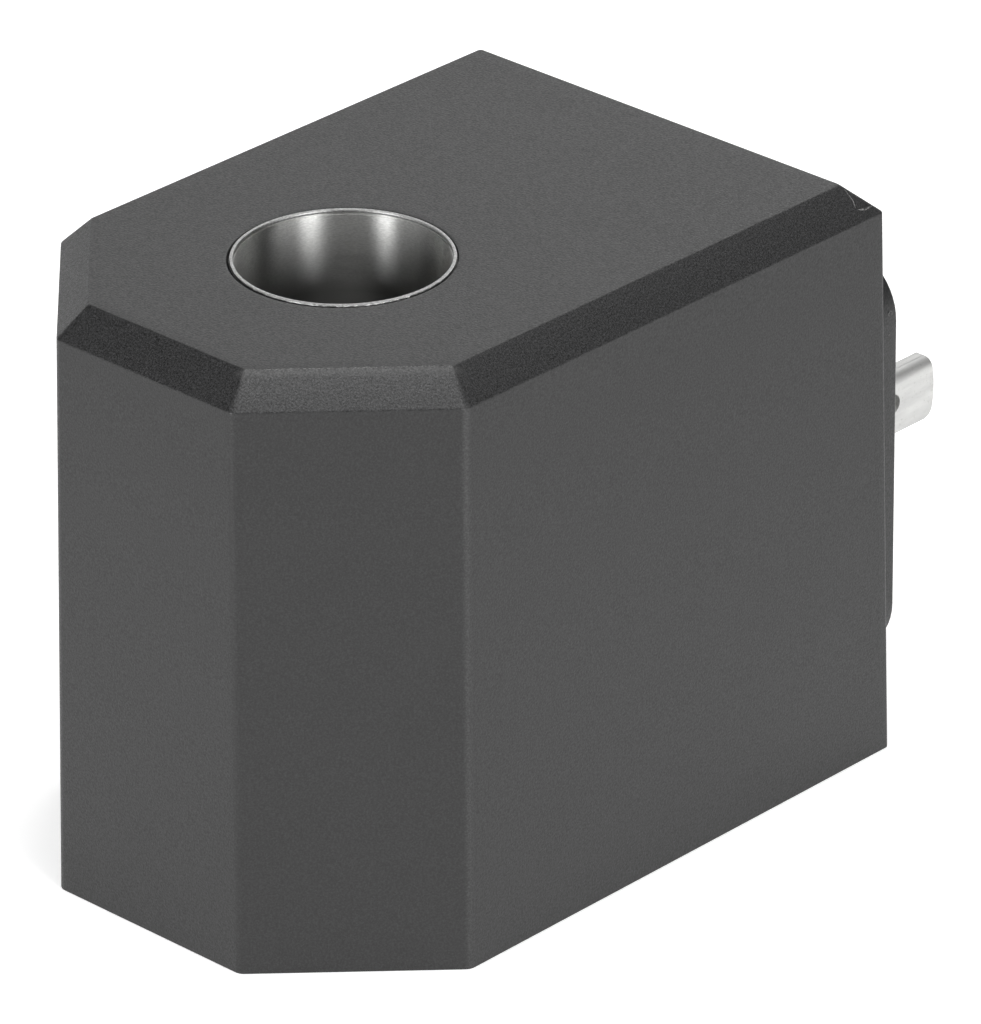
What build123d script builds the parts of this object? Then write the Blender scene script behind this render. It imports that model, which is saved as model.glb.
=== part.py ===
from build123d import *
from math import cos, radians, sin, sqrt, tan
import os

# Solenoid valve coil with a plug-in connector head. Millimetres.
# The origin is on the bore axis at the bottom face, +Z runs up the bore and +Y points to the connector.

# Moulded block, measured at its base
block_width = 36.0
block_height = 40.0
nose_reach = 18.2
back_reach = 31.0
corner_cut = 10.1
side_draft = 0.8
nose_draft = 1.4
top_chamfer = 1.95
edge_radius = 0.8
back_edge_radius = 0.3
top_edge_radius = 0.25
moulding_wall = 2.5

# Connector pad on the back face
pad_width = 28.0
pad_height = 28.4
pad_centre_z = 17.3
pad_face_y = 35.9
pad_corner_radius = 4.0
pad_edge_chamfer = 0.2

# Bore liner
bore_diameter = 13.5
liner_wall = 0.25
rim_stand = 0.05

# Flux bushes and yoke
bush_wall = 1.5
bush_insertion = 7.0
yoke_thickness = 3.0
yoke_width = 24.0
yoke_bend_radius = 1.0
web_clearance = 0.8

# Bobbin and winding
bobbin_tube_wall = 1.0
flange_thickness = 1.5
tape_thickness = 0.25
lead_slot_width = 1.4
lead_slot_angle = 35.0

# Contacts: a strip folded over on itself, round at the fold
contact_spacing = 18.0
contact_centre_z = 18.45
earth_drop = 9.0
contact_thickness = 1.7
contact_height = 4.3
contact_reach = 8.5
contact_tail = 2.5
contact_bulge = 0.3
contact_tip_radius = 0.9
contact_nose_radius = 0.35
contact_hole_diameter = 1.4
contact_hole_offset = 4.45

# Earth contact's foot and its rivet
foot_width = 5.0
foot_rise = 5.6
rivet_diameter = 2.0
rivet_head_diameter = 3.4
rivet_head_height = 0.6

# Terminal carrier and threaded insert
carrier_width = 24.6
carrier_height = 18.0
carrier_thickness = 3.0
carrier_cover = 4.0
carrier_corner_radius = 1.5
insert_diameter = 5.0
insert_length = 8.0
insert_core_diameter = 2.5
insert_thread_depth = 6.5
insert_collar_diameter = 6.2

# Leads
wire_diameter = 0.4
sleeve_diameter = 1.0
lead_bend = 0.5
lead_inset = 0.4
sleeve_overlap = 1.0
joint_radius = 0.75
joint_height = 1.3
joint_taper = 15.0
joint_inset = 1.0

# Radii and levels that follow from the sizes above
liner_radius = bore_diameter / 2 + liner_wall
bush_radius = liner_radius + bush_wall
bobbin_tube_radius = bush_radius + bobbin_tube_wall
draft_loss = block_height * tan(radians(side_draft))
flange_radius = block_width / 2 - draft_loss - moulding_wall
winding_radius = flange_radius - tape_thickness
lead_lane = (yoke_width / 2 + flange_radius) / 2
yoke_bottom = moulding_wall
yoke_top = block_height - moulding_wall
bobbin_bottom = yoke_bottom + yoke_thickness
bobbin_top = yoke_top - yoke_thickness
bobbin_length = bobbin_top - bobbin_bottom
winding_bottom = bobbin_bottom + flange_thickness
winding_top = bobbin_top - flange_thickness
web_inner_y = flange_radius + web_clearance
web_outer_y = web_inner_y + yoke_thickness
strip_thickness = contact_thickness / 2
tail_y = web_outer_y + contact_tail
tip_y = pad_face_y + contact_reach
carrier_front_y = pad_face_y - carrier_cover
carrier_back_y = carrier_front_y - carrier_thickness
contact_x = contact_spacing / 2
earth_z = contact_centre_z - earth_drop
rivet_z = earth_z + foot_rise / 2


def drafted_outline(height, inset, front_radius, back_radius):
    """Outline of the block at a height: square at the back, half an octagon at the nose."""
    side_loss = height * tan(radians(side_draft)) + inset
    nose_loss = height * tan(radians(nose_draft)) + inset
    half_width = block_width / 2 - side_loss
    nose_y = nose_loss - nose_reach
    corner_sum = block_width / 2 + nose_reach - corner_cut - sqrt(2) * nose_loss
    with BuildSketch(Plane.XY.offset(height)) as outline:
        with BuildLine():
            Polyline(
                (corner_sum + nose_y, nose_y),
                (half_width, half_width - corner_sum),
                (half_width, back_reach - side_loss),
                (-half_width, back_reach - side_loss),
                (-half_width, half_width - corner_sum),
                (-corner_sum - nose_y, nose_y),
                close=True,
            )
        make_face()
        fillet(outline.vertices().sort_by(Axis.Y)[:4], front_radius)
        fillet(outline.vertices().sort_by(Axis.Y)[-2:], back_radius)
    return outline.sketch


def tube(inner_radius, outer_radius, bottom, length):
    """A plain ring about the bore axis, or a plug if it has no inner radius."""
    with BuildPart() as ring:
        with BuildSketch(Plane.XY.offset(bottom)):
            Circle(outer_radius)
            if inner_radius:
                Circle(inner_radius, mode=Mode.SUBTRACT)
        extrude(amount=length)
    return ring.part


# Bore liner: a thin drawn tube, its upper rim a little proud of the moulding
with BuildPart() as bore_liner:
    add(tube(bore_diameter / 2, liner_radius, 0, block_height + rim_stand))

# Yoke: a steel strip bent to a U round the winding, open to the nose
leg_end_y = moulding_wall - nose_reach + block_height * tan(radians(nose_draft))
leg_mid_bottom = yoke_bottom + yoke_thickness / 2
leg_mid_top = yoke_top - yoke_thickness / 2
web_mid_y = web_inner_y + yoke_thickness / 2
nose_corner_sum = block_width / 2 + nose_reach - corner_cut - sqrt(2) * (leg_end_y + nose_reach)
leg_corner_cut = yoke_width / 2 - leg_end_y - nose_corner_sum
with BuildPart() as yoke_blank:
    with BuildSketch(Plane.YZ):
        with BuildLine():
            FilletPolyline(
                (leg_end_y, leg_mid_bottom),
                (web_mid_y, leg_mid_bottom),
                (web_mid_y, leg_mid_top),
                (leg_end_y, leg_mid_top),
                radius=yoke_bend_radius + yoke_thickness / 2,
            )
        trace(line_width=yoke_thickness)
    extrude(amount=yoke_width / 2, both=True)
    leg_end_edges = yoke_blank.edges().filter_by(Axis.Z).group_by(Axis.Y)[0]
    chamfer(leg_end_edges, leg_corner_cut)

with BuildPart() as yoke_bracket:
    add(yoke_blank.part)
    with Locations((0, 0, yoke_top)):
        Hole(bush_radius)
    with Locations(Plane.XZ.offset(-web_outer_y)):
        with Locations((0, rivet_z)):
            Hole(rivet_diameter / 2, depth=yoke_thickness)

# Flux bushes: turned steel rings pressed through the yoke's legs into the bobbin
bush_length = yoke_thickness + bush_insertion
with BuildPart() as upper_flux_bush:
    add(tube(liner_radius, bush_radius, yoke_top - bush_length, bush_length))

with BuildPart() as lower_flux_bush:
    add(tube(liner_radius, bush_radius, yoke_bottom, bush_length))

# Bobbin: two flanges on a tube, with an inner shoulder that both flux bushes seat against
slot_length = flange_radius - bobbin_tube_radius
slot_mid_radius = bobbin_tube_radius + slot_length / 2
slot_spread = 180 - 2 * lead_slot_angle
with BuildPart() as bobbin:
    add(tube(liner_radius, bobbin_tube_radius, bobbin_bottom, bobbin_length))
    add(tube(liner_radius, flange_radius, bobbin_bottom, flange_thickness))
    add(tube(liner_radius, flange_radius, winding_top, flange_thickness))
    add(tube(liner_radius, bush_radius, bobbin_bottom, bush_insertion), mode=Mode.SUBTRACT)
    add(tube(liner_radius, bush_radius, bobbin_top - bush_insertion, bush_insertion), mode=Mode.SUBTRACT)
    with BuildSketch(Plane.XY.offset(winding_top)):
        with PolarLocations(slot_mid_radius, 2, lead_slot_angle, slot_spread, endpoint=True):
            Rectangle(slot_length + wire_diameter, lead_slot_width)
    extrude(amount=flange_thickness, mode=Mode.SUBTRACT)

# Winding of enamelled copper wire, modelled as one ring, and the tape wrapped over it
winding_length = winding_top - winding_bottom
with BuildPart() as winding:
    add(tube(bobbin_tube_radius, winding_radius, winding_bottom, winding_length))

with BuildPart() as winding_tape:
    add(tube(winding_radius, winding_radius + tape_thickness, winding_bottom, winding_length))


def side_profile(tail):
    """Side view of a contact from its tail to its bowed tip, in the contact's own plane."""
    half = contact_height / 2
    tip = tip_y - contact_bulge
    with BuildSketch(Plane.XY) as side:
        with BuildLine():
            Polyline((tip, half), (tail, half), (tail, -half), (tip, -half))
            ThreePointArc((tip, -half), (tip_y, 0), (tip, half))
        make_face()
        fillet(side.vertices().group_by(Axis.Y)[0].sort_by(Axis.X)[-1], contact_tip_radius)
        fillet(side.vertices().group_by(Axis.Y)[-1].sort_by(Axis.X)[-1], contact_nose_radius)
    return side.sketch


def contact_bar(tail):
    """A contact lying along +Y with its fold up, centred on the Y axis."""
    fold_radius = contact_thickness / 2
    with BuildPart() as contact:
        with BuildSketch(Plane.XZ):
            with Locations((0, contact_height / 2 - fold_radius)):
                Circle(fold_radius)
                Rectangle(contact_thickness, contact_height - fold_radius, align=(Align.CENTER, Align.MAX))
        extrude(amount=-tip_y)
        side_plane = Plane(origin=(-contact_thickness, 0, 0), x_dir=(0, 1, 0), z_dir=(1, 0, 0))
        extrude(side_plane * side_profile(tail), amount=2 * contact_thickness, mode=Mode.INTERSECT)
        with Locations(Plane.YZ):
            with Locations((pad_face_y + contact_hole_offset, 0)):
                Hole(contact_hole_diameter / 2)
    return contact.part


# Power contacts, on edge with the fold up
power_contact = contact_bar(tail_y)
with BuildPart() as phase_pin_right:
    with Locations((contact_x, 0, contact_centre_z)):
        add(power_contact)

with BuildPart() as phase_pin_left:
    with Locations((-contact_x, 0, contact_centre_z)):
        add(power_contact)

# Earth contact, lying flat, the upper half of its strip turned up as a foot against the yoke's web
with BuildPart() as earth_pin:
    with Locations(Location((0, 0, earth_z), (0, 90, 0))):
        add(contact_bar(web_outer_y))
    with BuildSketch(Plane.XZ.offset(-web_outer_y)):
        with Locations((0, earth_z)):
            Rectangle(foot_width, foot_rise, align=(Align.CENTER, Align.MIN))
    extrude(amount=-strip_thickness)
    with Locations(Plane.XZ.offset(-web_outer_y - strip_thickness)):
        with Locations((0, rivet_z)):
            Hole(rivet_diameter / 2, depth=strip_thickness)

# Rivet through the foot and the web, closed flush with the web's inner face
with BuildPart() as earth_rivet:
    with BuildSketch(Plane.XZ.offset(-web_inner_y)):
        with Locations((0, rivet_z)):
            Circle(rivet_diameter / 2)
    extrude(amount=-yoke_thickness - strip_thickness)
    with BuildSketch(Plane.XZ.offset(-web_outer_y - strip_thickness)):
        with Locations((0, rivet_z)):
            Circle(rivet_head_diameter / 2)
    extrude(amount=-rivet_head_height)

# Threaded insert: turned brass, blind, its collar behind the terminal carrier and its end flush with the pad
insert_inner_y = pad_face_y - insert_length
with BuildPart() as insert_blank:
    with BuildSketch(Plane.XZ.offset(-insert_inner_y)):
        with Locations((0, contact_centre_z)):
            Circle(insert_diameter / 2)
    extrude(amount=-insert_length)
    with BuildSketch(Plane.XZ.offset(-insert_inner_y)):
        with Locations((0, contact_centre_z)):
            Circle(insert_collar_diameter / 2)
    extrude(amount=insert_inner_y - carrier_back_y)

with BuildPart() as threaded_insert:
    add(insert_blank.part)
    with Locations(Plane.XZ.offset(-pad_face_y)):
        with Locations((0, contact_centre_z)):
            Hole(insert_core_diameter / 2, depth=insert_thread_depth)

# The room that contacts and insert take in what is moulded round them
with BuildPart() as connector_room:
    for piece in (phase_pin_left, phase_pin_right, earth_pin, insert_blank):
        add(piece.part)

# Terminal carrier: a moulded plate that the contacts and the insert are pressed through
carrier_centre_z = (contact_centre_z + earth_z) / 2
with BuildPart() as terminal_carrier:
    with BuildSketch(Plane.XZ.offset(-carrier_back_y)):
        with Locations((0, carrier_centre_z)):
            RectangleRounded(carrier_width, carrier_height, carrier_corner_radius)
    extrude(amount=-carrier_thickness)
    add(connector_room.part, mode=Mode.SUBTRACT)

# Leads: the two wire ends run through the flange slots, past the yoke's web and down to the contacts
lead_level = winding_top + flange_thickness / 2
lead_y = tail_y + joint_inset
contact_top = contact_centre_z + contact_height / 2
lead_end_z = contact_top + wire_diameter / 2
slot_x = cos(radians(lead_slot_angle))
slot_y = sin(radians(lead_slot_angle))


def lead_wire(side, start_radius):
    """A wire end from the winding's upper face to a contact, its round section drawn with six sides."""
    corners = [
        Vector(side * start_radius * slot_x, start_radius * slot_y, winding_top),
        Vector(side * start_radius * slot_x, start_radius * slot_y, lead_level),
        Vector(side * lead_lane, lead_lane * slot_y / slot_x, lead_level),
        Vector(side * lead_lane, lead_y, lead_level),
        Vector(side * contact_x, lead_y, contact_top + joint_height * 2),
        Vector(side * contact_x, lead_y, lead_end_z),
    ]
    bent = [corners[0]]
    for before, corner, after in zip(corners, corners[1:], corners[2:]):
        bent.append(corner + (before - corner).normalized() * lead_bend)
        bent.append(corner + (after - corner).normalized() * lead_bend)
    bent.append(corners[-1])
    with BuildPart() as wire:
        with BuildLine() as route:
            Polyline(*bent)
        with BuildSketch(Plane(origin=route.line @ 0, z_dir=route.line % 0)):
            RegularPolygon(wire_diameter / 2, 6)
        sweep(transition=Transition.RIGHT)
    return wire.part


def lead_sleeve(side, lead):
    """A sleeve on the straight stretch of a lead that passes the yoke's web, drawn with eight sides."""
    with BuildPart() as sleeve:
        with BuildSketch(Plane.XZ.offset(sleeve_overlap - web_inner_y)):
            with Locations((side * lead_lane, lead_level)):
                RegularPolygon(sleeve_diameter / 2, 8)
        extrude(amount=-yoke_thickness - 2 * sleeve_overlap)
        add(lead.part, mode=Mode.SUBTRACT)
    return sleeve.part


with BuildPart() as start_lead:
    add(lead_wire(-1, bobbin_tube_radius + lead_inset))

with BuildPart() as finish_lead:
    add(lead_wire(1, winding_radius - lead_inset))

with BuildPart() as start_lead_sleeve:
    add(lead_sleeve(-1, start_lead))

with BuildPart() as finish_lead_sleeve:
    add(lead_sleeve(1, finish_lead))


def solder_joint(side, lead):
    """Solder round the end of a lead, on the crest of a contact's fold, drawn with eight sides."""
    with BuildPart() as joint:
        with BuildSketch(Plane.XY.offset(contact_top - contact_thickness / 2)):
            with Locations((side * contact_x, lead_y)):
                RegularPolygon(joint_radius, 8)
        extrude(amount=joint_height + contact_thickness / 2, taper=joint_taper)
        add(connector_room.part, mode=Mode.SUBTRACT)
        add(lead.part, mode=Mode.SUBTRACT)
    return joint.part


with BuildPart() as start_joint:
    add(solder_joint(-1, start_lead))

with BuildPart() as finish_joint:
    add(solder_joint(1, finish_lead))

# Encapsulation: the block and its connector pad, moulded round every piece above
inner_pieces = {
    "bore_liner": bore_liner,
    "yoke_bracket": yoke_bracket,
    "upper_flux_bush": upper_flux_bush,
    "lower_flux_bush": lower_flux_bush,
    "bobbin": bobbin,
    "winding": winding,
    "winding_tape": winding_tape,
    "phase_pin_left": phase_pin_left,
    "phase_pin_right": phase_pin_right,
    "earth_pin": earth_pin,
    "earth_rivet": earth_rivet,
    "threaded_insert": threaded_insert,
    "terminal_carrier": terminal_carrier,
    "start_lead": start_lead,
    "finish_lead": finish_lead,
    "start_lead_sleeve": start_lead_sleeve,
    "finish_lead_sleeve": finish_lead_sleeve,
    "start_joint": start_joint,
    "finish_joint": finish_joint,
}
core_room_pieces = [
    yoke_blank,
    connector_room,
    terminal_carrier,
    earth_rivet,
    start_lead,
    finish_lead,
    start_lead_sleeve,
    finish_lead_sleeve,
    start_joint,
    finish_joint,
]
with BuildPart() as core_room:
    add(tube(0, flange_radius, bobbin_bottom, bobbin_length))
    for piece in core_room_pieces:
        add(piece.part)

shoulder = block_height - top_chamfer
with BuildPart() as encapsulation:
    loft(
        [
            drafted_outline(0, 0, edge_radius, back_edge_radius),
            drafted_outline(shoulder, 0, edge_radius, back_edge_radius),
            drafted_outline(block_height, top_chamfer, top_edge_radius, top_edge_radius),
        ],
        ruled=True,
    )
    with BuildSketch(Plane.XZ.offset(-pad_face_y)):
        with Locations((0, pad_centre_z)):
            RectangleRounded(pad_width, pad_height, pad_corner_radius)
    extrude(amount=pad_face_y - web_outer_y)
    chamfer(encapsulation.faces().sort_by(Axis.Y)[-1].edges(), pad_edge_chamfer)
    add(core_room.part, mode=Mode.SUBTRACT)
    with Locations((0, 0, block_height)):
        Hole(liner_radius)

os.makedirs("parts", exist_ok=True)
for name, piece in {"encapsulation": encapsulation, **inner_pieces}.items():
    piece.part.label = name
    export_step(piece.part, f"parts/{name}.step")
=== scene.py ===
import math

import bpy
from mathutils import Matrix, Vector, noise


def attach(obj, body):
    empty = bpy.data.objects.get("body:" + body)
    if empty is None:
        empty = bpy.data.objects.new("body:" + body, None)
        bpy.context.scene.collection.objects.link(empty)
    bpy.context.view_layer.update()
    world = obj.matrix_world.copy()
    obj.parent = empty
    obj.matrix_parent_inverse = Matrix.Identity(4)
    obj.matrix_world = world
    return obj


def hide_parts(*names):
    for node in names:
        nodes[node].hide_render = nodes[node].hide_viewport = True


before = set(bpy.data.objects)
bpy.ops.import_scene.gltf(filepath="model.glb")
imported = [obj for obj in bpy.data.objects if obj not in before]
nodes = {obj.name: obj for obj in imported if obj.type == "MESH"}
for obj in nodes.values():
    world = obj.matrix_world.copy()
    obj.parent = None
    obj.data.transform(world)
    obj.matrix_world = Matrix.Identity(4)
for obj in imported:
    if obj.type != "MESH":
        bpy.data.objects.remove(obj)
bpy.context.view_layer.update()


# Bobbin: the spool that carries the winding, hidden in the block.
# It is injection moulded in black glass-filled polyamide 66 and slid over the flux bushes.
MM = 0.001


def linear(hex_colour):
    """Turns an sRGB hex colour to the linear colour that the shaders take."""
    values = [int(hex_colour[i:i + 2], 16) / 255 for i in (1, 3, 5)]
    return [v / 12.92 if v <= 0.04045 else ((v + 0.055) / 1.055) ** 2.4 for v in values] + [1]


def add_node(tree, kind, inputs={}, **settings):
    """Adds a node with its settings.

    An input takes a number, a hex colour, a node or a node's output.
    """
    made = tree.nodes.new("ShaderNode" + kind)
    for name, value in settings.items():
        setattr(made, name, value)
    for name, value in inputs.items():
        if isinstance(name, int):
            socket = made.inputs[name]
        else:
            socket = next(each for each in made.inputs if each.name == name and each.enabled)
        if isinstance(value, bpy.types.Node):
            value = next(each for each in value.outputs if each.enabled)
        if isinstance(value, bpy.types.NodeSocket):
            tree.links.new(value, socket)
        else:
            socket.default_value = linear(value) if isinstance(value, str) else value
    return made


def start_material(name):
    """Starts an empty material; returns it, its tree and the object's coordinates in metres."""
    material = bpy.data.materials.new(name)
    material.use_nodes = True
    material.node_tree.nodes.clear()
    place = add_node(material.node_tree, "TexCoord").outputs["Object"]
    return material, material.node_tree, place


def edge_nearness(tree, radius_mm):
    """How near a point is to a sharp edge: 0 on the flat, 1 on the edge.

    The surface is smoothed over the radius, and its normal then leans away from the true one
    near an edge only. What is measured is the cosine of the angle between the two.
    """
    rounded = add_node(tree, "Bevel", {"Radius": radius_mm * MM}, samples=4)
    flat = add_node(tree, "NewGeometry").outputs["Normal"]
    facing = add_node(tree, "VectorMath", {0: rounded, 1: flat}, operation="DOT_PRODUCT")
    return add_node(tree, "MapRange", {"Value": facing, "From Min": 0.995, "From Max": 0.85})


def finish_nodes(material, *names):
    """Puts a material in every slot of the named CAD nodes."""
    for name in names:
        for slot in nodes[name].material_slots:
            slot.material = material


# Black polyamide 66 from an eroded tool: near black and matt, with pale glass ends in it.
# The real ends are about a hundredth of a millimetre across; they are drawn coarser, to show.
# Noise keeps mostly between 0.3 and 0.7, so that is the range which a material stretches.
bobbin_polyamide, tree, place = start_material("Black glass-filled polyamide 66, moulded")
glass = add_node(tree, "TexNoise", {"Vector": place, "Scale": 1 / (0.15 * MM)})
glass_ends = add_node(tree, "MapRange", {
    "Value": glass, "From Min": 0.60, "From Max": 0.72, "To Max": 0.5,
})
speckled = add_node(
    tree, "Mix", {"Factor": glass_ends, "A": "#1f1f21", "B": "#5b5b5c"}, data_type="RGBA",
)
lighter_edges = add_node(
    tree, "Mix", {"Factor": edge_nearness(tree, 0.15), "A": speckled, "B": "#5b5b5c"},
    data_type="RGBA",
)
erosion = add_node(tree, "TexNoise", {"Vector": place, "Scale": 1 / (0.2 * MM)})
sheen = add_node(tree, "MapRange", {
    "Value": erosion, "From Min": 0.3, "From Max": 0.7, "To Min": 0.45, "To Max": 0.56,
})
pits = add_node(tree, "Bump", {"Height": erosion, "Distance": 0.01 * MM})
shader = add_node(tree, "BsdfPrincipled", {
    "Base Color": lighter_edges, "Roughness": sheen, "IOR": 1.53, "Normal": pits,
})
add_node(tree, "OutputMaterial", {"Surface": shader})
finish_nodes(bobbin_polyamide, "bobbin")


# Winding: about two thousand turns of enamelled copper wire, laid in even layers on the bobbin.
# Yellow polyester tape is wrapped over it, and its wire ends leave through slots in the flange.
WIRE_PITCH = 0.4
TAPE_WIDTH = 9.0
# A wave texture at scale 1 repeats after a tenth of pi.
WAVE_LENGTH = math.pi / 10

# Copper under amber enamel: a warm gloss, with a painted shade line in the groove between each
# turn and the next.
# The turns are drawn 0.4 mm apart, a little coarser than real, so that they show.
enamelled_copper, tree, place = start_material("Enamelled copper wire, wound")
turns = add_node(
    tree, "TexWave", {"Vector": place, "Scale": WAVE_LENGTH / (WIRE_PITCH * MM)},
    bands_direction="Z",
).outputs["Fac"]
patches = add_node(tree, "TexNoise", {"Vector": place, "Scale": 1 / (3 * MM)})
patch_share = add_node(tree, "MapRange", {"Value": patches, "From Min": 0.35, "From Max": 0.65})
enamel = add_node(
    tree, "Mix", {"Factor": patch_share, "A": "#b06a3c", "B": "#8f4a26"}, data_type="RGBA",
)
# Painted shade: the colour darkens in the groove between turns.
between = add_node(tree, "MapRange", {
    "Value": turns, "From Min": 0.3, "From Max": 0.0, "To Max": 0.7,
})
colour = add_node(
    tree, "Mix", {"Factor": between, "A": enamel, "B": "#3d1d10"}, data_type="RGBA",
)
dabs = add_node(tree, "TexNoise", {"Vector": place, "Scale": 1 / (0.5 * MM)})
sheen = add_node(tree, "MapRange", {
    "Value": dabs, "From Min": 0.3, "From Max": 0.7, "To Min": 0.25, "To Max": 0.4,
})
crowns = add_node(tree, "Bump", {"Height": turns, "Distance": 0.1 * MM})
shader = add_node(tree, "BsdfPrincipled", {
    "Base Color": colour, "Metallic": 1.0, "Roughness": sheen, "Normal": crowns,
})
add_node(tree, "OutputMaterial", {"Surface": shader})
finish_nodes(enamelled_copper, "winding", "start_lead", "finish_lead")

# Polyester film tape: glossy amber yellow, darker where one lap ends on the next, and a little
# wrinkled. The laps have the tape's real width.
polyester_tape, tree, place = start_material("Polyester film tape, wrapped")
laps = add_node(
    tree, "TexWave", {"Vector": place, "Scale": WAVE_LENGTH / (TAPE_WIDTH * MM)},
    bands_direction="Z", wave_profile="SAW",
).outputs["Fac"]
patches = add_node(tree, "TexNoise", {"Vector": place, "Scale": 1 / (4 * MM)})
patch_share = add_node(tree, "MapRange", {"Value": patches, "From Min": 0.3, "From Max": 0.7})
film = add_node(
    tree, "Mix", {"Factor": patch_share, "A": "#c9a93c", "B": "#b08f2b"}, data_type="RGBA",
)
lap_ends = add_node(tree, "MapRange", {"Value": laps, "From Min": 0.97, "From Max": 1.0})
colour = add_node(
    tree, "Mix", {"Factor": lap_ends, "A": film, "B": "#7d6420"}, data_type="RGBA",
)
smears = add_node(tree, "TexNoise", {"Vector": place, "Scale": 1 / (1.5 * MM)})
sheen = add_node(tree, "MapRange", {
    "Value": smears, "From Min": 0.3, "From Max": 0.7, "To Min": 0.22, "To Max": 0.4,
})
steps = add_node(tree, "Bump", {"Height": laps, "Distance": 0.06 * MM})
wrinkles = add_node(tree, "Bump", {"Height": patches, "Distance": 0.05 * MM, "Normal": steps})
shader = add_node(tree, "BsdfPrincipled", {
    "Base Color": colour, "Roughness": sheen, "IOR": 1.64, "Normal": wrinkles,
})
add_node(tree, "OutputMaterial", {"Surface": shader})
finish_nodes(polyester_tape, "winding_tape")


# Yoke and flux bushes: the iron path round the winding, hidden in the block.
# The yoke is low carbon steel strip, bent and zinc plated, and the earth rivet is plated too.
# The bushes are turned from bar and pressed through the yoke's legs.
def plated_steel(name, base, shade, smooth, rough, stretch):
    """Bright steel; its rolling or turning marks run the way that stretch is smallest."""
    material, tree, place = start_material(name)
    drawn_out = add_node(tree, "Mapping", {"Vector": place, "Scale": stretch})
    marks = add_node(tree, "TexNoise", {
        "Vector": drawn_out, "Scale": 1 / (0.3 * MM), "Detail": 4,
    })
    clouds = add_node(tree, "TexNoise", {"Vector": place, "Scale": 1 / (2.5 * MM)})
    cloud_share = add_node(tree, "MapRange", {
        "Value": clouds, "From Min": 0.3, "From Max": 0.7,
    })
    tint = add_node(tree, "Mix", {"Factor": cloud_share, "A": base, "B": shade}, data_type="RGBA")
    worn = add_node(
        tree, "Mix", {"Factor": edge_nearness(tree, 0.2), "A": tint, "B": "#e2e2e0"},
        data_type="RGBA",
    )
    sheen = add_node(tree, "MapRange", {
        "Value": marks, "From Min": 0.3, "From Max": 0.7, "To Min": smooth, "To Max": rough,
    })
    grooves = add_node(tree, "Bump", {"Height": marks, "Distance": 0.008 * MM})
    shader = add_node(tree, "BsdfPrincipled", {
        "Base Color": worn, "Metallic": 1.0, "Roughness": sheen, "Normal": grooves,
    })
    add_node(tree, "OutputMaterial", {"Surface": shader})
    return material


# Zinc plate gives a cool, cloudy grey with rolling lines; turned steel is warmer, with rings
# round it. The real lines are finer than 0.1 mm; they are drawn coarser, to show.
zinc_plate = plated_steel(
    "Zinc plated steel strip, rolled", "#b4b7bb", "#8f9398", 0.30, 0.48, (0.15, 1, 1),
)
turned_steel = plated_steel(
    "Free-cutting steel, turned", "#bcbab6", "#989590", 0.22, 0.40, (0.1, 0.1, 3),
)
finish_nodes(zinc_plate, "yoke_bracket", "earth_rivet")
finish_nodes(turned_steel, "upper_flux_bush", "lower_flux_bush")


# Contacts: three flat pins for the cable plug, two on edge for power and one flat for earth.
# Each is brass strip folded over on itself and matt tin plated, so its crest is round and its
# faces are soft. They are held in the moulding by their roots.
def soften_edges(name, width_mm):
    """Rounds the sharp edges of a CAD node with modifiers; its mesh stays as it is."""
    weld = nodes[name].modifiers.new("join_corners", "WELD")
    weld.merge_threshold = 0.0001 * MM
    bevel = nodes[name].modifiers.new("round_edges", "BEVEL")
    bevel.width = width_mm * MM
    bevel.segments = 3
    bevel.limit_method = "ANGLE"
    bevel.angle_limit = math.radians(35)
    bevel.harden_normals = True


# Matt tin plate: a pale, even silver with soft smears along the pin and fine pores.
# The real pores are too fine to see; they are drawn at 0.2 mm.
tin_plate, tree, place = start_material("Tin plated brass, matt")
along = add_node(tree, "Mapping", {"Vector": place, "Scale": (1, 0.25, 1)})
smears = add_node(tree, "TexNoise", {"Vector": along, "Scale": 1 / (0.9 * MM), "Detail": 3})
smear_share = add_node(tree, "MapRange", {"Value": smears, "From Min": 0.35, "From Max": 0.65})
tint = add_node(
    tree, "Mix", {"Factor": smear_share, "A": "#d4d4d2", "B": "#c6c6c5"}, data_type="RGBA",
)
grit = add_node(tree, "TexNoise", {"Vector": place, "Scale": 1 / (0.2 * MM), "Detail": 3})
pores = add_node(tree, "MapRange", {
    "Value": grit, "From Min": 0.62, "From Max": 0.74, "To Max": 0.5,
})
colour = add_node(tree, "Mix", {"Factor": pores, "A": tint, "B": "#a9a8a4"}, data_type="RGBA")
sheen = add_node(tree, "MapRange", {
    "Value": smears, "From Min": 0.3, "From Max": 0.7, "To Min": 0.5, "To Max": 0.62,
})
skin_grain = add_node(tree, "Bump", {"Height": grit, "Distance": 0.006 * MM})
shader = add_node(tree, "BsdfPrincipled", {
    "Base Color": colour, "Metallic": 1.0, "Roughness": sheen, "Normal": skin_grain,
})
add_node(tree, "OutputMaterial", {"Surface": shader})
for pin in ("phase_pin_left", "phase_pin_right", "earth_pin"):
    soften_edges(pin, 0.12)
finish_nodes(tin_plate, "phase_pin_left", "phase_pin_right", "earth_pin")


# Threaded insert: takes the plug's M3 centre screw.
# Turned brass with a collar at its inner end and a cut thread, moulded in flush with the pad.
INSERT_Z = 18.45
INSERT_FRONT_Y = 35.9
INSERT_BACK_Y = 27.9
INSERT_RADIUS = 2.5
COLLAR_FRONT_Y = 28.9
COLLAR_RADIUS = 3.1
COUNTERSINK_RADIUS = 1.62
COUNTERSINK_DEPTH = 0.3
THREAD_CORE_RADIUS = 1.25
THREAD_DEPTH = 0.27
THREAD_PITCH = 0.5
THREAD_LENGTH = 4.7
ROWS_PER_PITCH = 8
TURN_STEPS = 48
# The hole ends in a flat drill point, and a ring of AXIS_RADIUS closes the mesh on the axis.
DRILL_RADIUS = 1.2
DRILL_DEPTH = 5.0
DRILL_TIP_DEPTH = 5.15
AXIS_RADIUS = 0.01


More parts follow.
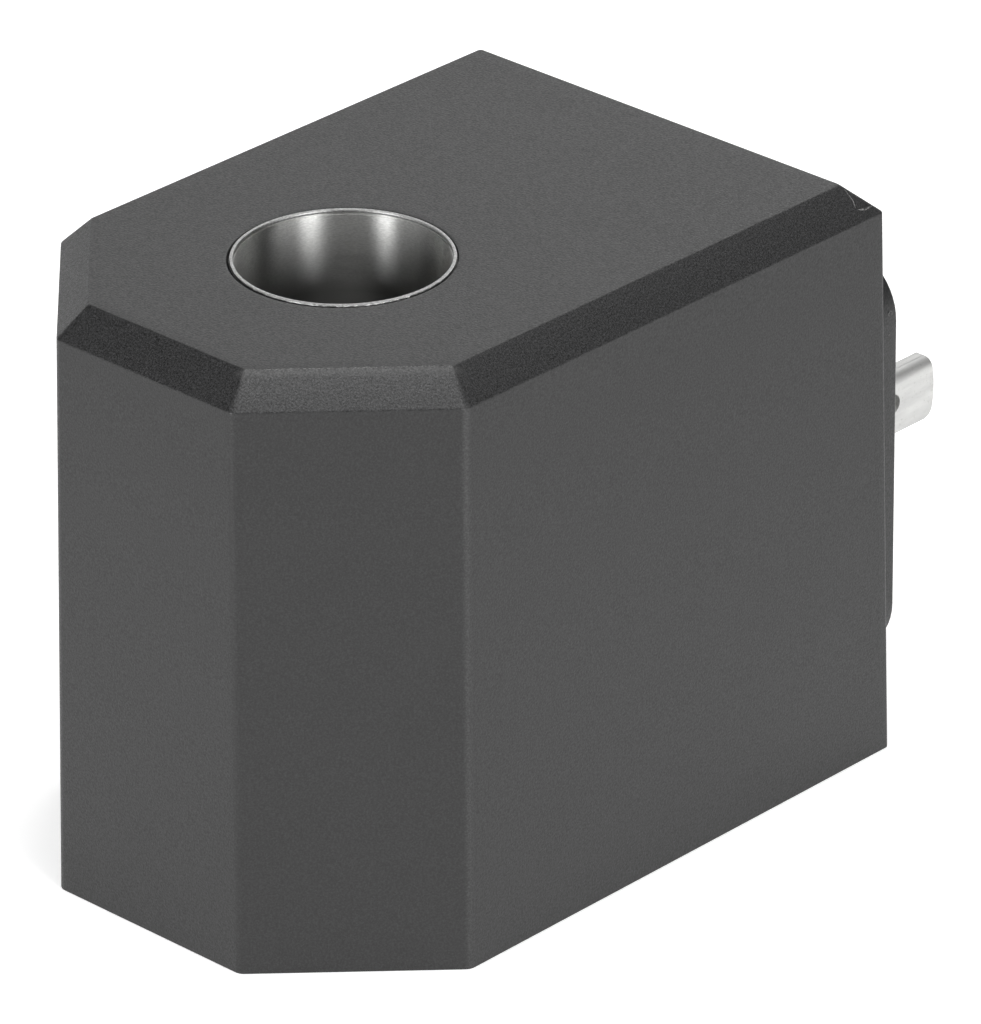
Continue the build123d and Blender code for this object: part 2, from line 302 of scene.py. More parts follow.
def skin(name, rings, material, cap_ends=False):
    """Makes a piece from rings of points in millimetres, and joins each ring to the next.

    All rings have the same number of points. The piece rides on the body.
    """
    count = len(rings[0])
    points = [Vector(point) * MM for ring in rings for point in ring]
    faces = []
    for first in range(0, len(points) - count, count):
        for i in range(count):
            j = (i + 1) % count
            faces.append((first + i, first + j, first + count + j, first + count + i))
    if cap_ends:
        faces.append(tuple(reversed(range(count))))
        faces.append(tuple(range(len(points) - count, len(points))))
    mesh = bpy.data.meshes.new(name)
    mesh.from_pydata(points, [], faces)
    mesh.materials.append(material)
    mesh.shade_smooth()
    mesh.set_sharp_from_angle(angle=math.radians(30))
    piece = bpy.data.objects.new(name, mesh)
    bpy.context.scene.collection.objects.link(piece)
    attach(piece, "root")
    return piece


def soften(profile, cut):
    """Rounds the inner corners of a profile of 2D points; a rounding starts at cut from them."""
    points = [profile[0]]
    for before, corner, after in zip(profile, profile[1:], profile[2:]):
        corner = Vector(corner)
        start = corner + (Vector(before) - corner).normalized() * cut
        end = corner + (Vector(after) - corner).normalized() * cut
        for step in range(5):
            t = step / 4
            points.append(start * (1 - t) ** 2 + corner * 2 * t * (1 - t) + end * t * t)
    points.append(profile[-1])
    return points


def insert_ring(y, radius_at):
    """A ring about the insert's axis, its radius a function of the angle."""
    ring = []
    for i in range(TURN_STEPS):
        turn = i / TURN_STEPS
        radius = radius_at(turn)
        angle = 2 * math.pi * turn
        ring.append((radius * math.sin(angle), y, INSERT_Z + radius * math.cos(angle)))
    return ring


def thread_radius(y, turn):
    """Radius of the thread at a depth and an angle: the core's on the crest, more in the root.

    The flanks slope evenly between the two, and crest and root are cut a little flat.
    """
    phase = (y / THREAD_PITCH + turn) % 1
    flank = 2.6 * (0.5 - abs(phase - 0.5)) - 0.15
    return THREAD_CORE_RADIUS + THREAD_DEPTH * min(1, max(0, flank))


body_profile = [
    (0.0, INSERT_BACK_Y), (COLLAR_RADIUS, INSERT_BACK_Y), (COLLAR_RADIUS, COLLAR_FRONT_Y),
    (INSERT_RADIUS, COLLAR_FRONT_Y), (INSERT_RADIUS, INSERT_FRONT_Y),
    (COUNTERSINK_RADIUS, INSERT_FRONT_Y),
]
insert_rings = [
    insert_ring(y, lambda turn, r=r: max(r, AXIS_RADIUS)) for r, y in soften(body_profile, 0.08)
]
for row in range(int(THREAD_LENGTH / THREAD_PITCH * ROWS_PER_PITCH)):
    y = INSERT_FRONT_Y - COUNTERSINK_DEPTH - row * THREAD_PITCH / ROWS_PER_PITCH
    insert_rings.append(insert_ring(y, lambda turn, y=y: thread_radius(y, turn)))
insert_rings.append(insert_ring(INSERT_FRONT_Y - DRILL_DEPTH, lambda turn: DRILL_RADIUS))
insert_rings.append(insert_ring(INSERT_FRONT_Y - DRILL_TIP_DEPTH, lambda turn: AXIS_RADIUS))

# Turned brass: warm yellow with rings from the tool and paler edges.
# The rings are drawn 0.1 mm apart, about twice as coarse as a real feed.
turned_brass, tree, place = start_material("Brass, turned")
around = add_node(tree, "Mapping", {"Vector": place, "Scale": (0.2, 2, 0.2)})
rounds = add_node(tree, "TexNoise", {"Vector": around, "Scale": 1 / (0.2 * MM), "Detail": 3})
patches = add_node(tree, "TexNoise", {"Vector": place, "Scale": 1 / (1.2 * MM)})
patch_share = add_node(tree, "MapRange", {"Value": patches, "From Min": 0.35, "From Max": 0.65})
tint = add_node(
    tree, "Mix", {"Factor": patch_share, "A": "#cfa75c", "B": "#b58c45"}, data_type="RGBA",
)
worn = add_node(
    tree, "Mix", {"Factor": edge_nearness(tree, 0.1), "A": tint, "B": "#ecd396"}, data_type="RGBA",
)
sheen = add_node(tree, "MapRange", {
    "Value": rounds, "From Min": 0.3, "From Max": 0.7, "To Min": 0.2, "To Max": 0.36,
})
grooves = add_node(tree, "Bump", {"Height": rounds, "Distance": 0.006 * MM})
shader = add_node(tree, "BsdfPrincipled", {
    "Base Color": worn, "Metallic": 1.0, "Roughness": sheen, "Normal": grooves,
})
add_node(tree, "OutputMaterial", {"Surface": shader})
insert = skin("brass_thread_insert", insert_rings, turned_brass)
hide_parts("threaded_insert")


# Terminal carrier: the plate that holds contacts and insert in line while the block is moulded.
# Moulded in black glass-filled polyamide 66, the same as the bobbin, and closed in by the block.
finish_nodes(bobbin_polyamide, "terminal_carrier")


# Leads, sleeves and joints: the winding's two ends, soldered on the power contacts.
# Woven glass sleeves keep the wires off the yoke; the joints are tin solder.

# Varnished glass braid: a dry cream weave, a little yellowed where the varnish is thick.
glass_sleeve, tree, place = start_material("Varnished glass sleeve, braided")
braid = add_node(
    tree, "TexChecker", {"Vector": place, "Scale": 1 / (0.2 * MM)},
).outputs["Fac"]
yarn = add_node(tree, "Mix", {"Factor": braid, "A": "#d2ccbd", "B": "#b9b09b"}, data_type="RGBA")
varnish = add_node(tree, "TexNoise", {"Vector": place, "Scale": 1 / (0.6 * MM)})
varnish_share = add_node(tree, "MapRange", {"Value": varnish, "From Min": 0.4, "From Max": 0.7})
colour = add_node(
    tree, "Mix", {"Factor": varnish_share, "A": yarn, "B": "#a3937a"}, data_type="RGBA",
)
weave = add_node(tree, "Bump", {"Height": braid, "Distance": 0.03 * MM})
shader = add_node(tree, "BsdfPrincipled", {
    "Base Color": colour, "Roughness": 0.6, "Normal": weave,
})
add_node(tree, "OutputMaterial", {"Surface": shader})
finish_nodes(glass_sleeve, "start_lead_sleeve", "finish_lead_sleeve")

# Tin solder: bright grey metal, smooth and glossy in places, dull and rippled where it set last.
tin_solder, tree, place = start_material("Tin solder, set")
clouds = add_node(tree, "TexNoise", {"Vector": place, "Scale": 1 / (0.4 * MM)})
cloud_share = add_node(tree, "MapRange", {"Value": clouds, "From Min": 0.4, "From Max": 0.65})
tint = add_node(
    tree, "Mix", {"Factor": cloud_share, "A": "#c4c6c8", "B": "#a2a5a8"}, data_type="RGBA",
)
sheen = add_node(tree, "MapRange", {
    "Value": clouds, "From Min": 0.3, "From Max": 0.7, "To Min": 0.18, "To Max": 0.4,
})
ripples = add_node(tree, "Bump", {"Height": clouds, "Distance": 0.02 * MM})
shader = add_node(tree, "BsdfPrincipled", {
    "Base Color": tint, "Metallic": 1.0, "Roughness": sheen, "Normal": ripples,
})
add_node(tree, "OutputMaterial", {"Surface": shader})
finish_nodes(tin_solder, "start_joint", "finish_joint")


# Moulded block: the housing that closes in everything above, with the plug's pad on its back.
# Dark grey glass-filled polyamide, moulded round the parts in a matt eroded tool.
# Its sides are drafted, so that it leaves the tool, and its top edges are chamfered.
BLOCK_WIDTH = 36.0
BLOCK_HEIGHT = 40.0
NOSE_REACH = 18.2
BACK_REACH = 31.0
CORNER_CUT = 10.1
SIDE_DRAFT = math.tan(math.radians(0.8))
NOSE_DRAFT = math.tan(math.radians(1.4))
TOP_CHAMFER = 1.95
SHOULDER_Z = BLOCK_HEIGHT - TOP_CHAMFER
FRONT_CORNER_RADIUS = 0.8
BACK_CORNER_RADIUS = 0.3
TOP_CORNER_RADIUS = 0.25
SHARP_EDGE = 0.09
# How many steps each straight side of the outline has, from the right of the nose round.
SIDE_STEPS = (28, 70, 64, 70, 28, 30)
LINER_RADIUS = 7.0
# The lip's rings stand a little towards the nose, where the plastic shrank most.
LIP_SHIFT = 0.05


def rounded_loop(corners, radii, spacing, arc_steps=8):
    """Points of a polygon with rounded corners; spacing gives the steps of each straight side."""
    corners = [Vector(corner) for corner in corners]
    arcs = []
    for i, corner in enumerate(corners):
        inward = (corner - corners[i - 1]).normalized()
        onward = (corners[(i + 1) % len(corners)] - corner).normalized()
        turn = inward.angle(onward)
        cut = radii[i] * math.tan(turn / 2)
        centre = corner - inward * cut + Vector((-inward.y, inward.x)) * radii[i]
        spoke = corner - inward * cut - centre
        arcs.append([
            centre + Matrix.Rotation(turn * step / arc_steps, 2) @ spoke
            for step in range(arc_steps + 1)
        ])
    loop = []
    for arc, following, steps in zip(arcs, arcs[1:] + arcs[:1], spacing):
        loop += arc
        loop += [arc[-1].lerp(following[0], step / steps) for step in range(1, steps)]
    return loop


def block_ring(inset, z):
    """The block's outline at a height, drafted and inset.

    It is square at the back and half an octagon at the nose.
    """
    side = z * SIDE_DRAFT + inset
    nose = z * NOSE_DRAFT + inset
    half = BLOCK_WIDTH / 2 - side
    nose_y = nose - NOSE_REACH
    corner_sum = BLOCK_WIDTH / 2 + NOSE_REACH - CORNER_CUT - math.sqrt(2) * nose
    corners = [
        (corner_sum + nose_y, nose_y), (half, half - corner_sum), (half, BACK_REACH - side),
        (-half, BACK_REACH - side), (-half, half - corner_sum), (-corner_sum - nose_y, nose_y),
    ]
    up_chamfer = max(0, (z - SHOULDER_Z) / TOP_CHAMFER)
    front = FRONT_CORNER_RADIUS + (TOP_CORNER_RADIUS - FRONT_CORNER_RADIUS) * up_chamfer
    back = BACK_CORNER_RADIUS + (TOP_CORNER_RADIUS - BACK_CORNER_RADIUS) * up_chamfer
    loop = rounded_loop(corners, (front, front, back, back, front, front), SIDE_STEPS)
    return [(point.x, point.y, z) for point in loop]


def bore_ring(radius, z, outline, shift=0.0):
    """A ring about the bore, with a point abreast of every point of the block's outline."""
    ring = []
    for x, y, _ in outline:
        spoke = math.hypot(x, y)
        ring.append((radius * x / spoke, radius * y / spoke - shift, z))
    return ring


side_profile = soften([
    (1.0, 0.0), (0.0, 0.0), (0.0, SHOULDER_Z), (TOP_CHAMFER, BLOCK_HEIGHT), (3.0, BLOCK_HEIGHT),
], SHARP_EDGE)
walls = [block_ring(inset, z) for inset, z in side_profile]
lip_below = [(LINER_RADIUS, 0.5), (LINER_RADIUS, 0.1), (7.1, 0.0), (7.3, 0.0)]
# The plastic shrinks away a little round the steel, so the mouth has a narrow sunk lip.
lip_above = [
    (7.3, 40.0), (7.22, 39.99), (7.16, 39.96), (7.11, 39.88), (7.07, 39.7), (7.04, 39.4),
    (LINER_RADIUS, 39.0), (LINER_RADIUS, 38.8),
]
underside = [bore_ring(radius, z, walls[0]) for radius, z in lip_below]
mouth = [bore_ring(7.6, BLOCK_HEIGHT, walls[-1])]
mouth += [bore_ring(radius, z, walls[-1], LIP_SHIFT) for radius, z in lip_above]

# Grey glass-filled polyamide from an eroded tool: dark and matt, with a fine even grain that
# sparkles where it leans to a lamp, and slow flow shades. The grain is drawn at 0.12 mm, about
# twice as coarse as real, so that it shows.
grey_polyamide, tree, place = start_material("Dark grey glass-filled polyamide, eroded mould")
flow = add_node(tree, "TexNoise", {"Vector": place, "Scale": 1 / (7 * MM)})
flow_share = add_node(tree, "MapRange", {"Value": flow, "From Min": 0.3, "From Max": 0.7})
tint = add_node(
    tree, "Mix", {"Factor": flow_share, "A": "#171717", "B": "#1a1a1a"}, data_type="RGBA",
)
grain = add_node(tree, "TexNoise", {
    "Vector": place, "Scale": 1 / (0.12 * MM), "Detail": 2, "Roughness": 0.6,
})
grain_share = add_node(tree, "MapRange", {
    "Value": grain, "From Min": 0.4, "From Max": 0.72, "To Max": 0.44,
})
speckled = add_node(
    tree, "Mix", {"Factor": grain_share, "A": tint, "B": "#3d3d3e"}, data_type="RGBA",
)
# The chamfers' part of the tool was eroded more coarsely than the flats, so their grain has
# more contrast. They are told by their height, 0.97 mm either way from their middle.
CHAMFER_MIDDLE_Z = 39.0
CHAMFER_HALF_HEIGHT = 0.97
coarse = add_node(tree, "TexNoise", {
    "Vector": place, "Scale": 1 / (0.1 * MM), "Detail": 3, "Roughness": 0.7,
})
coarse_share = add_node(tree, "MapRange", {"Value": coarse, "From Min": 0.4, "From Max": 0.8})
coarse_grain = add_node(
    tree, "Mix", {"Factor": coarse_share, "A": "#111111", "B": "#474748"}, data_type="RGBA",
)
height = add_node(tree, "SeparateXYZ", {"Vector": place}).outputs["Z"]
on_chamfer = add_node(
    tree, "Math", {0: height, 1: CHAMFER_MIDDLE_Z * MM, 2: CHAMFER_HALF_HEIGHT * MM},
    operation="COMPARE",
)
speckled = add_node(
    tree, "Mix", {"Factor": on_chamfer, "A": speckled, "B": coarse_grain}, data_type="RGBA",
)
# Every edge is a little lighter: partly wear, partly a painted highlight. A wider painted
# highlight strip runs up the nose's right upright edge and along the edge above it, round the
# top.
UPRIGHT_EDGE = ((18.0, -8.1, 0.0), (17.469, -7.316, SHOULDER_Z))
NOSE_TOP_EDGE = ((6.85, -15.315, 39.84), (15.53, -6.635, 39.84))
worn = edge_nearness(tree, 0.12)
for (foot, head), highlight_strength in ((UPRIGHT_EDGE, 0.5), (NOSE_TOP_EDGE, 0.8)):
    along = (Vector(head) - Vector(foot)).normalized()
    from_foot = add_node(
        tree, "VectorMath", {0: place, 1: Vector(foot) * MM}, operation="SUBTRACT",
    )
    aside = add_node(tree, "VectorMath", {0: from_foot, 1: along}, operation="CROSS_PRODUCT")
    reach = add_node(tree, "VectorMath", {0: aside}, operation="LENGTH").outputs["Value"]
    near = add_node(tree, "MapRange", {
        "Value": reach, "From Min": 0.4 * MM, "From Max": 0.08 * MM, "To Max": highlight_strength,
    })
    worn = add_node(tree, "Math", {0: worn, 1: near}, operation="MAXIMUM")
# Painted highlight: the lighter tone that the edges and the two nose strips are mixed towards.
edge_wear_and_highlight = add_node(
    tree, "Mix", {"Factor": grain_share, "A": "#303030", "B": "#646464"}, data_type="RGBA",
)
lighter_edges = add_node(
    tree, "Mix", {"Factor": worn, "A": speckled, "B": edge_wear_and_highlight}, data_type="RGBA",
)
erosion = add_node(tree, "TexNoise", {
    "Vector": place, "Scale": 1 / (0.13 * MM), "Detail": 1, "Roughness": 0.5,
})
sheen = add_node(tree, "MapRange", {
    "Value": erosion, "From Min": 0.3, "From Max": 0.7, "To Min": 0.37, "To Max": 0.57,
})
pits = add_node(tree, "Bump", {"Height": erosion, "Distance": 0.017 * MM})
shader = add_node(tree, "BsdfPrincipled", {
    "Base Color": lighter_edges, "Roughness": sheen, "IOR": 1.5, "Normal": pits,
})
add_node(tree, "OutputMaterial", {"Surface": shader})
block = skin("moulded_block", underside + walls + mouth, grey_polyamide)
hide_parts("encapsulation")

# The pad is moulded in one with the block. It starts inside the block's back wall.
PAD_HALF_WIDTH = 14.0
PAD_BOTTOM_Z = 3.1
PAD_TOP_Z = 31.5
PAD_CENTRE = Vector((0.0, 17.3))
PAD_CORNER_RADIUS = 4.0
PAD_ROOT_Y = 30.2
PAD_FACE_Y = INSERT_FRONT_Y
PAD_EDGE = 0.22
PAD_STEPS = 12
PAD_CORNERS = [
    (-PAD_HALF_WIDTH, PAD_BOTTOM_Z), (PAD_HALF_WIDTH, PAD_BOTTOM_Z),
    (PAD_HALF_WIDTH, PAD_TOP_Z), (-PAD_HALF_WIDTH, PAD_TOP_Z),
]


def pad_ring(inset, y):
    """The pad's outline, a square with round corners, drawn in by an inset."""
    shrink = (PAD_HALF_WIDTH - inset) / PAD_HALF_WIDTH
    corners = [PAD_CENTRE + (Vector(corner) - PAD_CENTRE) * shrink for corner in PAD_CORNERS]
    loop = rounded_loop(corners, (PAD_CORNER_RADIUS * shrink,) * 4, (PAD_STEPS,) * 4, PAD_STEPS)
    return [(point.x, y, point.y) for point in reversed(loop)]


pad_profile = soften([(0.0, PAD_ROOT_Y), (0.0, PAD_FACE_Y), (6.0, PAD_FACE_Y)], PAD_EDGE)
pad_rings = [pad_ring(inset, y) for inset, y in pad_profile]
insert_hole = []
for x, y, z in pad_rings[-1]:
    spoke = math.hypot(x, z - INSERT_Z)
    insert_hole.append((
        INSERT_RADIUS * x / spoke, y, INSERT_Z + INSERT_RADIUS * (z - INSERT_Z) / spoke,
    ))
skin("plug_pad", pad_rings + [insert_hole], grey_polyamide)


# Bore liner: the tube that slides on the valve's armature tube, moulded into the block.
# Thin drawn steel, its bore reamed, its mouth faced and deburred by turning.
# It stands a trace proud of the moulding.
LINER_INNER_RADIUS = 6.75
LINER_TOP = 40.05
LINER_STEPS = 360
BURR_SIDE = math.radians(-40)


def liner_ring(radius, z):
    """A ring of the liner; its outer lip has a ragged burr on the side where the tool left."""
    on_outer_lip = radius > 6.98 and z > 39.9
    ring = []
    for i in range(LINER_STEPS):
        angle = 2 * math.pi * i / LINER_STEPS
        way = Vector((math.cos(angle), math.sin(angle), 0))
        burr = 0.0
        if on_outer_lip:
            side = max(0, math.cos(angle - BURR_SIDE))
            waves = max(0, noise.noise(way * 22))
            teeth = max(0, noise.noise(way * 70))
            burr = side * (0.07 + 0.16 * waves + 0.12 * teeth)
        ring.append(way * (radius + burr) + Vector((0, 0, z)))
    return ring


outer_edge = [
    (LINER_RADIUS, 0.0), (LINER_RADIUS, 39.84), (LINER_RADIUS, 39.98), (6.985, LINER_TOP),
]
rim = [(6.79, LINER_TOP), (6.755, 39.97), (LINER_INNER_RADIUS, 39.86)]
tool_mark = [
    (LINER_INNER_RADIUS, 39.84), (6.82, 39.82), (6.82, 39.75), (LINER_INNER_RADIUS, 39.73),
]
liner_profile = soften(outer_edge + rim, 0.02) + tool_mark
liner_profile += [(LINER_INNER_RADIUS, 39.5 - 3.5 * step) for step in range(12)]
liner_profile += [(LINER_INNER_RADIUS, 0.0), (LINER_RADIUS, 0.0)]

# Drawn and reamed steel: bright, with scores round the bore that draw each lamp out to an
# upright streak. The scores are drawn at 0.1 mm, coarser than real, so that they show.
# The wall's colour is painted darker further down from the mouth: painted shade deep in the bore.
liner_steel, tree, place = start_material("Steel tube, drawn and reamed")
around = add_node(tree, "Mapping", {"Vector": place, "Scale": (0.12, 0.12, 2.5)})
scores = add_node(tree, "TexNoise", {
    "Vector": around, "Scale": 1 / (0.25 * MM), "Detail": 5, "Roughness": 0.65,
})
fine = add_node(tree, "Mapping", {"Vector": place, "Scale": (0.4, 0.4, 1.2)})
grit = add_node(tree, "TexNoise", {
    "Vector": fine, "Scale": 1 / (0.09 * MM), "Detail": 3, "Roughness": 0.6,
})
grit_share = add_node(tree, "MapRange", {"Value": grit, "From Min": 0.35, "From Max": 0.65})
reamed = add_node(
    tree, "Mix", {"Factor": grit_share, "A": "#eeeeec", "B": "#d6d6d4"}, data_type="RGBA",
)
height = add_node(tree, "SeparateXYZ", {"Vector": place}).outputs["Z"]
# Painted shade: the wall's colour darkens with depth below the mouth.
painted_depth_shade = add_node(tree, "MapRange", {
    "Value": height, "From Min": 39.6 * MM, "From Max": 34.5 * MM,
})
drawn = add_node(
    tree, "Mix", {"Factor": painted_depth_shade, "A": reamed, "B": "#828280"}, data_type="RGBA",
)
# The cut face at the mouth was turned across, so it is duller and gritty, with no streaks.
cut_face = add_node(
    tree, "Mix", {"Factor": grit_share, "A": "#bababa", "B": "#929290"}, data_type="RGBA",
)
cut_share = add_node(tree, "MapRange", {
    "Value": height, "From Min": 39.84 * MM, "From Max": 39.88 * MM,
})
worn = add_node(
    tree, "Mix", {"Factor": cut_share, "A": drawn, "B": cut_face}, data_type="RGBA",
)
sheen = add_node(tree, "MapRange", {
    "Value": scores, "From Min": 0.3, "From Max": 0.7, "To Min": 0.36, "To Max": 0.47,
})
grooves = add_node(tree, "Bump", {"Height": scores, "Distance": 0.004 * MM})
streak_share = add_node(tree, "MapRange", {
    "Value": height, "From Min": 39.86 * MM, "From Max": 39.82 * MM, "To Max": 0.886,
})
round_bore = add_node(tree, "Tangent", direction_type="RADIAL", axis="Z")
shader = add_node(tree, "BsdfPrincipled", {
    "Base Color": worn, "Metallic": 1.0, "Roughness": sheen, "Normal": grooves,
    "Anisotropic": streak_share, "Anisotropic Rotation": 0.25, "Tangent": round_bore,
})
add_node(tree, "OutputMaterial", {"Surface": shader})
liner_rings = [liner_ring(radius, z) for radius, z in liner_profile]
liner = skin("bore_tube", liner_rings, liner_steel)
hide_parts("bore_liner")


# Moulding flash: where the polyamide crept up round the liner's lip.
# The same plastic as the block, torn thin and ragged when the mould's core pin was drawn.
FLASH_FOOT_Z = 39.72


def flash_ring(share_out, share_up):
    """A ring of the flash; it is widest and highest where its noise peaks."""
    ring = []
    for i in range(LINER_STEPS * 2):
        angle = math.pi * i / LINER_STEPS
        way = Vector((math.cos(angle), math.sin(angle), 0))
        tongue = max(0, noise.noise(way * 9))
        width = 0.06 + 0.09 * tongue + 0.07 * max(0, noise.noise(way * 45))
        crest = max(0, noise.noise(way * 11 + Vector((3, 0, 0))))
        height = 0.10 + 0.10 * crest + 0.06 * max(0, noise.noise(way * 60))
        out = way * (LINER_RADIUS + share_out * width)
        ring.append(out + Vector((0, 0, FLASH_FOOT_Z + share_up * height)))
    return ring


flash_sides = [(1.0, 0.0), (0.95, 0.45), (0.6, 0.9), (0.25, 1.0), (0.0, 0.8)]
flash_rings = [flash_ring(out, up) for out, up in flash_sides]
skin("bore_flash", flash_rings, grey_polyamide)


# Scratches and knocks: marks of handling, where the pale glass shows through the torn skin.
# A furrow lies on the chamfer at the back corner, and the pad's wall has two pits; a pale line
# on the nose's top edge is a painted highlight. All are thin ridges of the block's own plastic,
# sunk into its skin.
CHAMFER_OUT = Vector((1.95, 0.0, 1.977)).normalized()
NOSE_EDGE_OUT = Vector((0.27, -0.27, 0.924)).normalized()
# A mark's sides reach this far into the surface, and its crown stands this far proud of it.
MARK_FOOT = 0.01
MARK_HEIGHT = 0.014

# Torn polyamide: it scatters the light, so it looks whitish and dry, with dark tears between.
# The tears are drawn at 0.12 mm, coarser than real, so that they show.
# The same pale material also draws a painted highlight along the nose's top edge.
scratch_and_highlight_polyamide, tree, place = start_material("Glass-filled polyamide, scratched and painted highlight")
torn = add_node(tree, "TexNoise", {"Vector": place, "Scale": 1 / (0.12 * MM), "Detail": 3})
torn_share = add_node(tree, "MapRange", {"Value": torn, "From Min": 0.4, "From Max": 0.6})
colour = add_node(
    tree, "Mix", {"Factor": torn_share, "A": "#767675", "B": "#404040"}, data_type="RGBA",
)
shreds = add_node(tree, "Bump", {"Height": torn, "Distance": 0.02 * MM})
shader = add_node(tree, "BsdfPrincipled", {
    "Base Color": colour, "Roughness": 0.7, "IOR": 1.5, "Normal": shreds,
})
add_node(tree, "OutputMaterial", {"Surface": shader})


def ragged_strip(name, points, width_mm, out, steps, raggedness):
    """A strip along points of a face that looks out, ragged in width, tapering to its ends."""
    points = [Vector(point) for point in points]
    path = []
    for start, end in zip(points, points[1:]):
        path += [start.lerp(end, step / steps) for step in range(steps)]
    path.append(points[-1])
    rings = []
    for i, point in enumerate(path):
        ahead = (path[min(i + 1, len(path) - 1)] - path[max(i - 1, 0)]).normalized()
        across = ahead.cross(out).normalized()
        swell = math.sin(math.pi * i / (len(path) - 1)) ** 0.5
        taper = 0.15 + swell * (0.75 + raggedness * noise.noise(point * 9))
        half = width_mm / 2 * max(taper, 0.1)
        point = point + across * 0.05 * noise.noise(point * 5)
        edge, crown = across * half, across * half * 0.7
        rings.append([
            point - edge - out * MARK_FOOT, point - crown + out * MARK_HEIGHT,
            point + crown + out * MARK_HEIGHT, point + edge - out * MARK_FOOT,
        ])
    skin(name, rings, scratch_and_highlight_polyamide, cap_ends=True)


ragged_strip("corner_scratch_down", [
    (15.803, 28.603, 39.693), (16.213, 28.672, 39.288),
    (16.426, 28.679, 39.078), (16.746, 28.566, 38.763),
], 0.1, CHAMFER_OUT, 8, 0.6)
ragged_strip("corner_scratch_along", [
    (16.9, 28.614, 38.611), (17.0, 29.159, 38.512), (16.99, 29.889, 38.523),
], 0.15, CHAMFER_OUT, 8, 0.5)
# Painted highlight: a pale line along the nose's top edge, where the edge catches the light.
ragged_strip("nose_edge_highlight", [
    (6.75, -15.215, 39.984), (15.43, -6.535, 39.984),
], 0.05, NOSE_EDGE_OUT, 160, 1.8)

PIT_STEPS = 24


def pit(name, centre, radius):
    """A pit in the pad's side wall, with a thin raised rim; each ring has a share and a lift."""
    x, y, z = centre
    turns = [2 * math.pi * step / PIT_STEPS for step in range(PIT_STEPS)]
    rings = []
    for share, lift in ((0.65, -0.01), (0.75, 0.012), (0.85, 0.018), (0.95, 0.012), (1.0, -0.01)):
        reach = radius * share
        rings.append([
            (x + lift, y + reach * math.cos(turn), z + reach * math.sin(turn)) for turn in turns
        ])
    skin(name, rings, scratch_and_highlight_polyamide)


pit("pad_pit_upper", (13.95, 35.25, 28.14), 0.2)
pit("pad_pit_lower", (14.0, 35.08, 26.79), 0.1)


# Studio: the coil stands on an opal light table among soft lamps.
# The table stays white behind the coil and takes its soft shadow.
TABLE_SIZE = 8.0
# The lamps light the table too, so this much glow of its own is enough to make it white.
TABLE_GLOW = 0.43
# Painted shadow: the glow is nothing inside the coil's footprint and fades in beyond it, so none
# comes up the bore.
GLOW_STARTS = 9
GLOW_FULL = 15


def glow_where_seen(tree, strength):
    """The strength where the camera, metal or glass looks; 0 for light that falls on the coil."""
    path = add_node(tree, "LightPath").outputs
    seen = add_node(tree, "Math", {
        0: path["Is Camera Ray"], 1: path["Is Glossy Ray"],
    }, operation="ADD")
    seen_through = add_node(tree, "Math", {
        0: seen, 1: path["Is Transmission Ray"],
    }, operation="ADD")
    return add_node(tree, "Math", {0: seen_through, 1: strength}, operation="MULTIPLY")


bpy.ops.mesh.primitive_grid_add(
    x_subdivisions=4, y_subdivisions=4, size=TABLE_SIZE, location=(0, 0, 0),
)
table = bpy.context.object
table.name = "light_table"
opal, tree, place = start_material("Opal acrylic, lit from below")
from_bore = add_node(tree, "VectorMath", {0: place}, operation="LENGTH").outputs["Value"]
# Painted shadow under the coil: 0 inside its footprint, 1 clear of it.
outside_painted_shadow = add_node(tree, "MapRange", {
    "Value": from_bore, "From Min": GLOW_STARTS * MM, "From Max": GLOW_FULL * MM,
})
glow = add_node(tree, "Math", {
    0: glow_where_seen(tree, TABLE_GLOW), 1: outside_painted_shadow,
}, operation="MULTIPLY")
shader = add_node(tree, "BsdfPrincipled", {
    "Base Color": "#efefef", "Roughness": 0.9, "IOR": 1.49,
    "Emission Color": "#ffffff", "Emission Strength": glow,
})
add_node(tree, "OutputMaterial", {"Surface": shader})
table.data.materials.append(opal)

COIL_MIDDLE = Vector((0.0, 8.0, 20.0)) * MM


def softbox(name, azimuth, elevation, distance, width, height, brightness):
    """A soft lamp that faces the coil; azimuth runs from +X towards +Y, sizes are in metres."""
    across, up = math.radians(azimuth), math.radians(elevation)
    way = Vector((math.cos(across) * math.cos(up), math.sin(across) * math.cos(up), math.sin(up)))
    lamp = bpy.data.lights.new(name, "AREA")
    lamp.shape = "RECTANGLE"
    lamp.size = width
    lamp.size_y = height
    lamp.energy = brightness * math.pi * width * height
    holder = bpy.data.objects.new(name, lamp)
    holder.location = COIL_MIDDLE + way * distance
    holder.rotation_euler = way.to_track_quat("Z", "Y").to_euler()
    bpy.context.scene.collection.objects.link(holder)


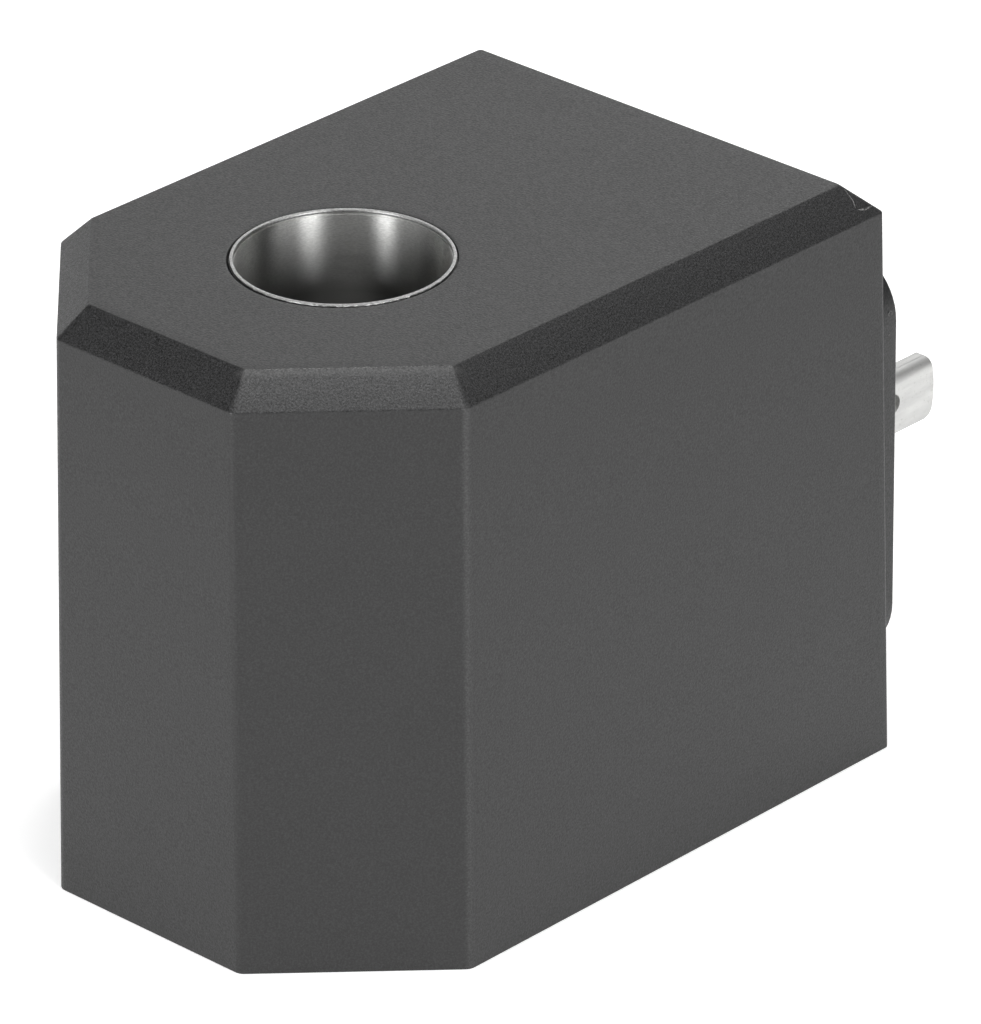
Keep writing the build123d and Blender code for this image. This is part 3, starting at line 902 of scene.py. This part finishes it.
# The first two are bright and narrow: they light the nose and the long side, and draw the two
# streaks in the bore. The others are broad or weak, and lift the top, the back and the corners.
softbox("lamp_left", -90, 11.5, 0.9, 0.22, 0.36, 15.0)
softbox("lamp_right", -13, 11.5, 0.9, 0.27, 0.36, 12.5)
softbox("lamp_right_soft", 13, 11.5, 0.9, 0.34, 0.36, 2.1)
softbox("lamp_over", -43, 80, 0.9, 0.65, 0.60, 4.8)
softbox("lamp_back", 134, 21, 2.0, 1.80, 0.70, 1.7)
softbox("lamp_back_high", 104, 48, 0.9, 0.60, 0.40, 2.6)
softbox("lamp_far", 160, 9, 2.0, 0.90, 0.60, 1.0)
softbox("lamp_side_high", 20, 62, 0.9, 0.70, 0.40, 0.2)
softbox("lamp_end_low", -130, 9, 0.9, 0.70, 0.27, 1.2)

# The world is white to the camera alone. To the coil it is a faint fill: a white sky would take
# away the dark parts that the bore shows between its streaks.
FILL = 0.025
world = bpy.data.worlds.new("studio")
bpy.context.scene.world = world
world.use_nodes = True
world.node_tree.nodes.clear()
seen = add_node(world.node_tree, "LightPath").outputs["Is Camera Ray"]
strength = add_node(world.node_tree, "MapRange", {"Value": seen, "To Min": FILL, "To Max": 1.0})
sky = add_node(world.node_tree, "Background", {"Color": "#ffffff", "Strength": strength})
add_node(world.node_tree, "OutputWorld", {"Surface": sky})


# Camera: a long lens from above the corner between the nose and the long side.
# It stands back from a point in the block, a little to the right and lower, and is rolled by
# half a degree. Lengths are in millimetres.
AIM = Vector((0, 12, 21.6))
DISTANCE = 540.2
SLIDE_RIGHT = 0.607
SLIDE_DOWN = 3.285
FOCAL_PIXELS = 8538.0
# The sensor's width is fitted to the picture's longer side, which is its height.
PHOTO_HEIGHT = 1024
azimuth, elevation, roll = (math.radians(angle) for angle in (43.816, 26.965, -0.606))
to_camera = Vector((
    math.sin(azimuth) * math.cos(elevation), -math.cos(azimuth) * math.cos(elevation),
    math.sin(elevation),
))
level = Vector((math.cos(azimuth), math.sin(azimuth), 0))
upright = to_camera.cross(level)
camera_x = level * math.cos(roll) + upright * math.sin(roll)
camera_y = upright * math.cos(roll) - level * math.sin(roll)
lens = bpy.data.cameras.new("photo_camera")
lens.sensor_width = 36.0
lens.lens = FOCAL_PIXELS * lens.sensor_width / PHOTO_HEIGHT
lens.clip_start = 0.01
camera = bpy.data.objects.new("photo_camera", lens)
stand = (AIM + to_camera * DISTANCE + camera_x * SLIDE_RIGHT - camera_y * SLIDE_DOWN) * MM
turned = Matrix((camera_x, camera_y, to_camera)).transposed().to_4x4()
camera.matrix_world = Matrix.Translation(stand) @ turned
bpy.context.scene.collection.objects.link(camera)
bpy.context.scene.camera = camera

bpy.context.scene.view_settings.view_transform = "Standard"
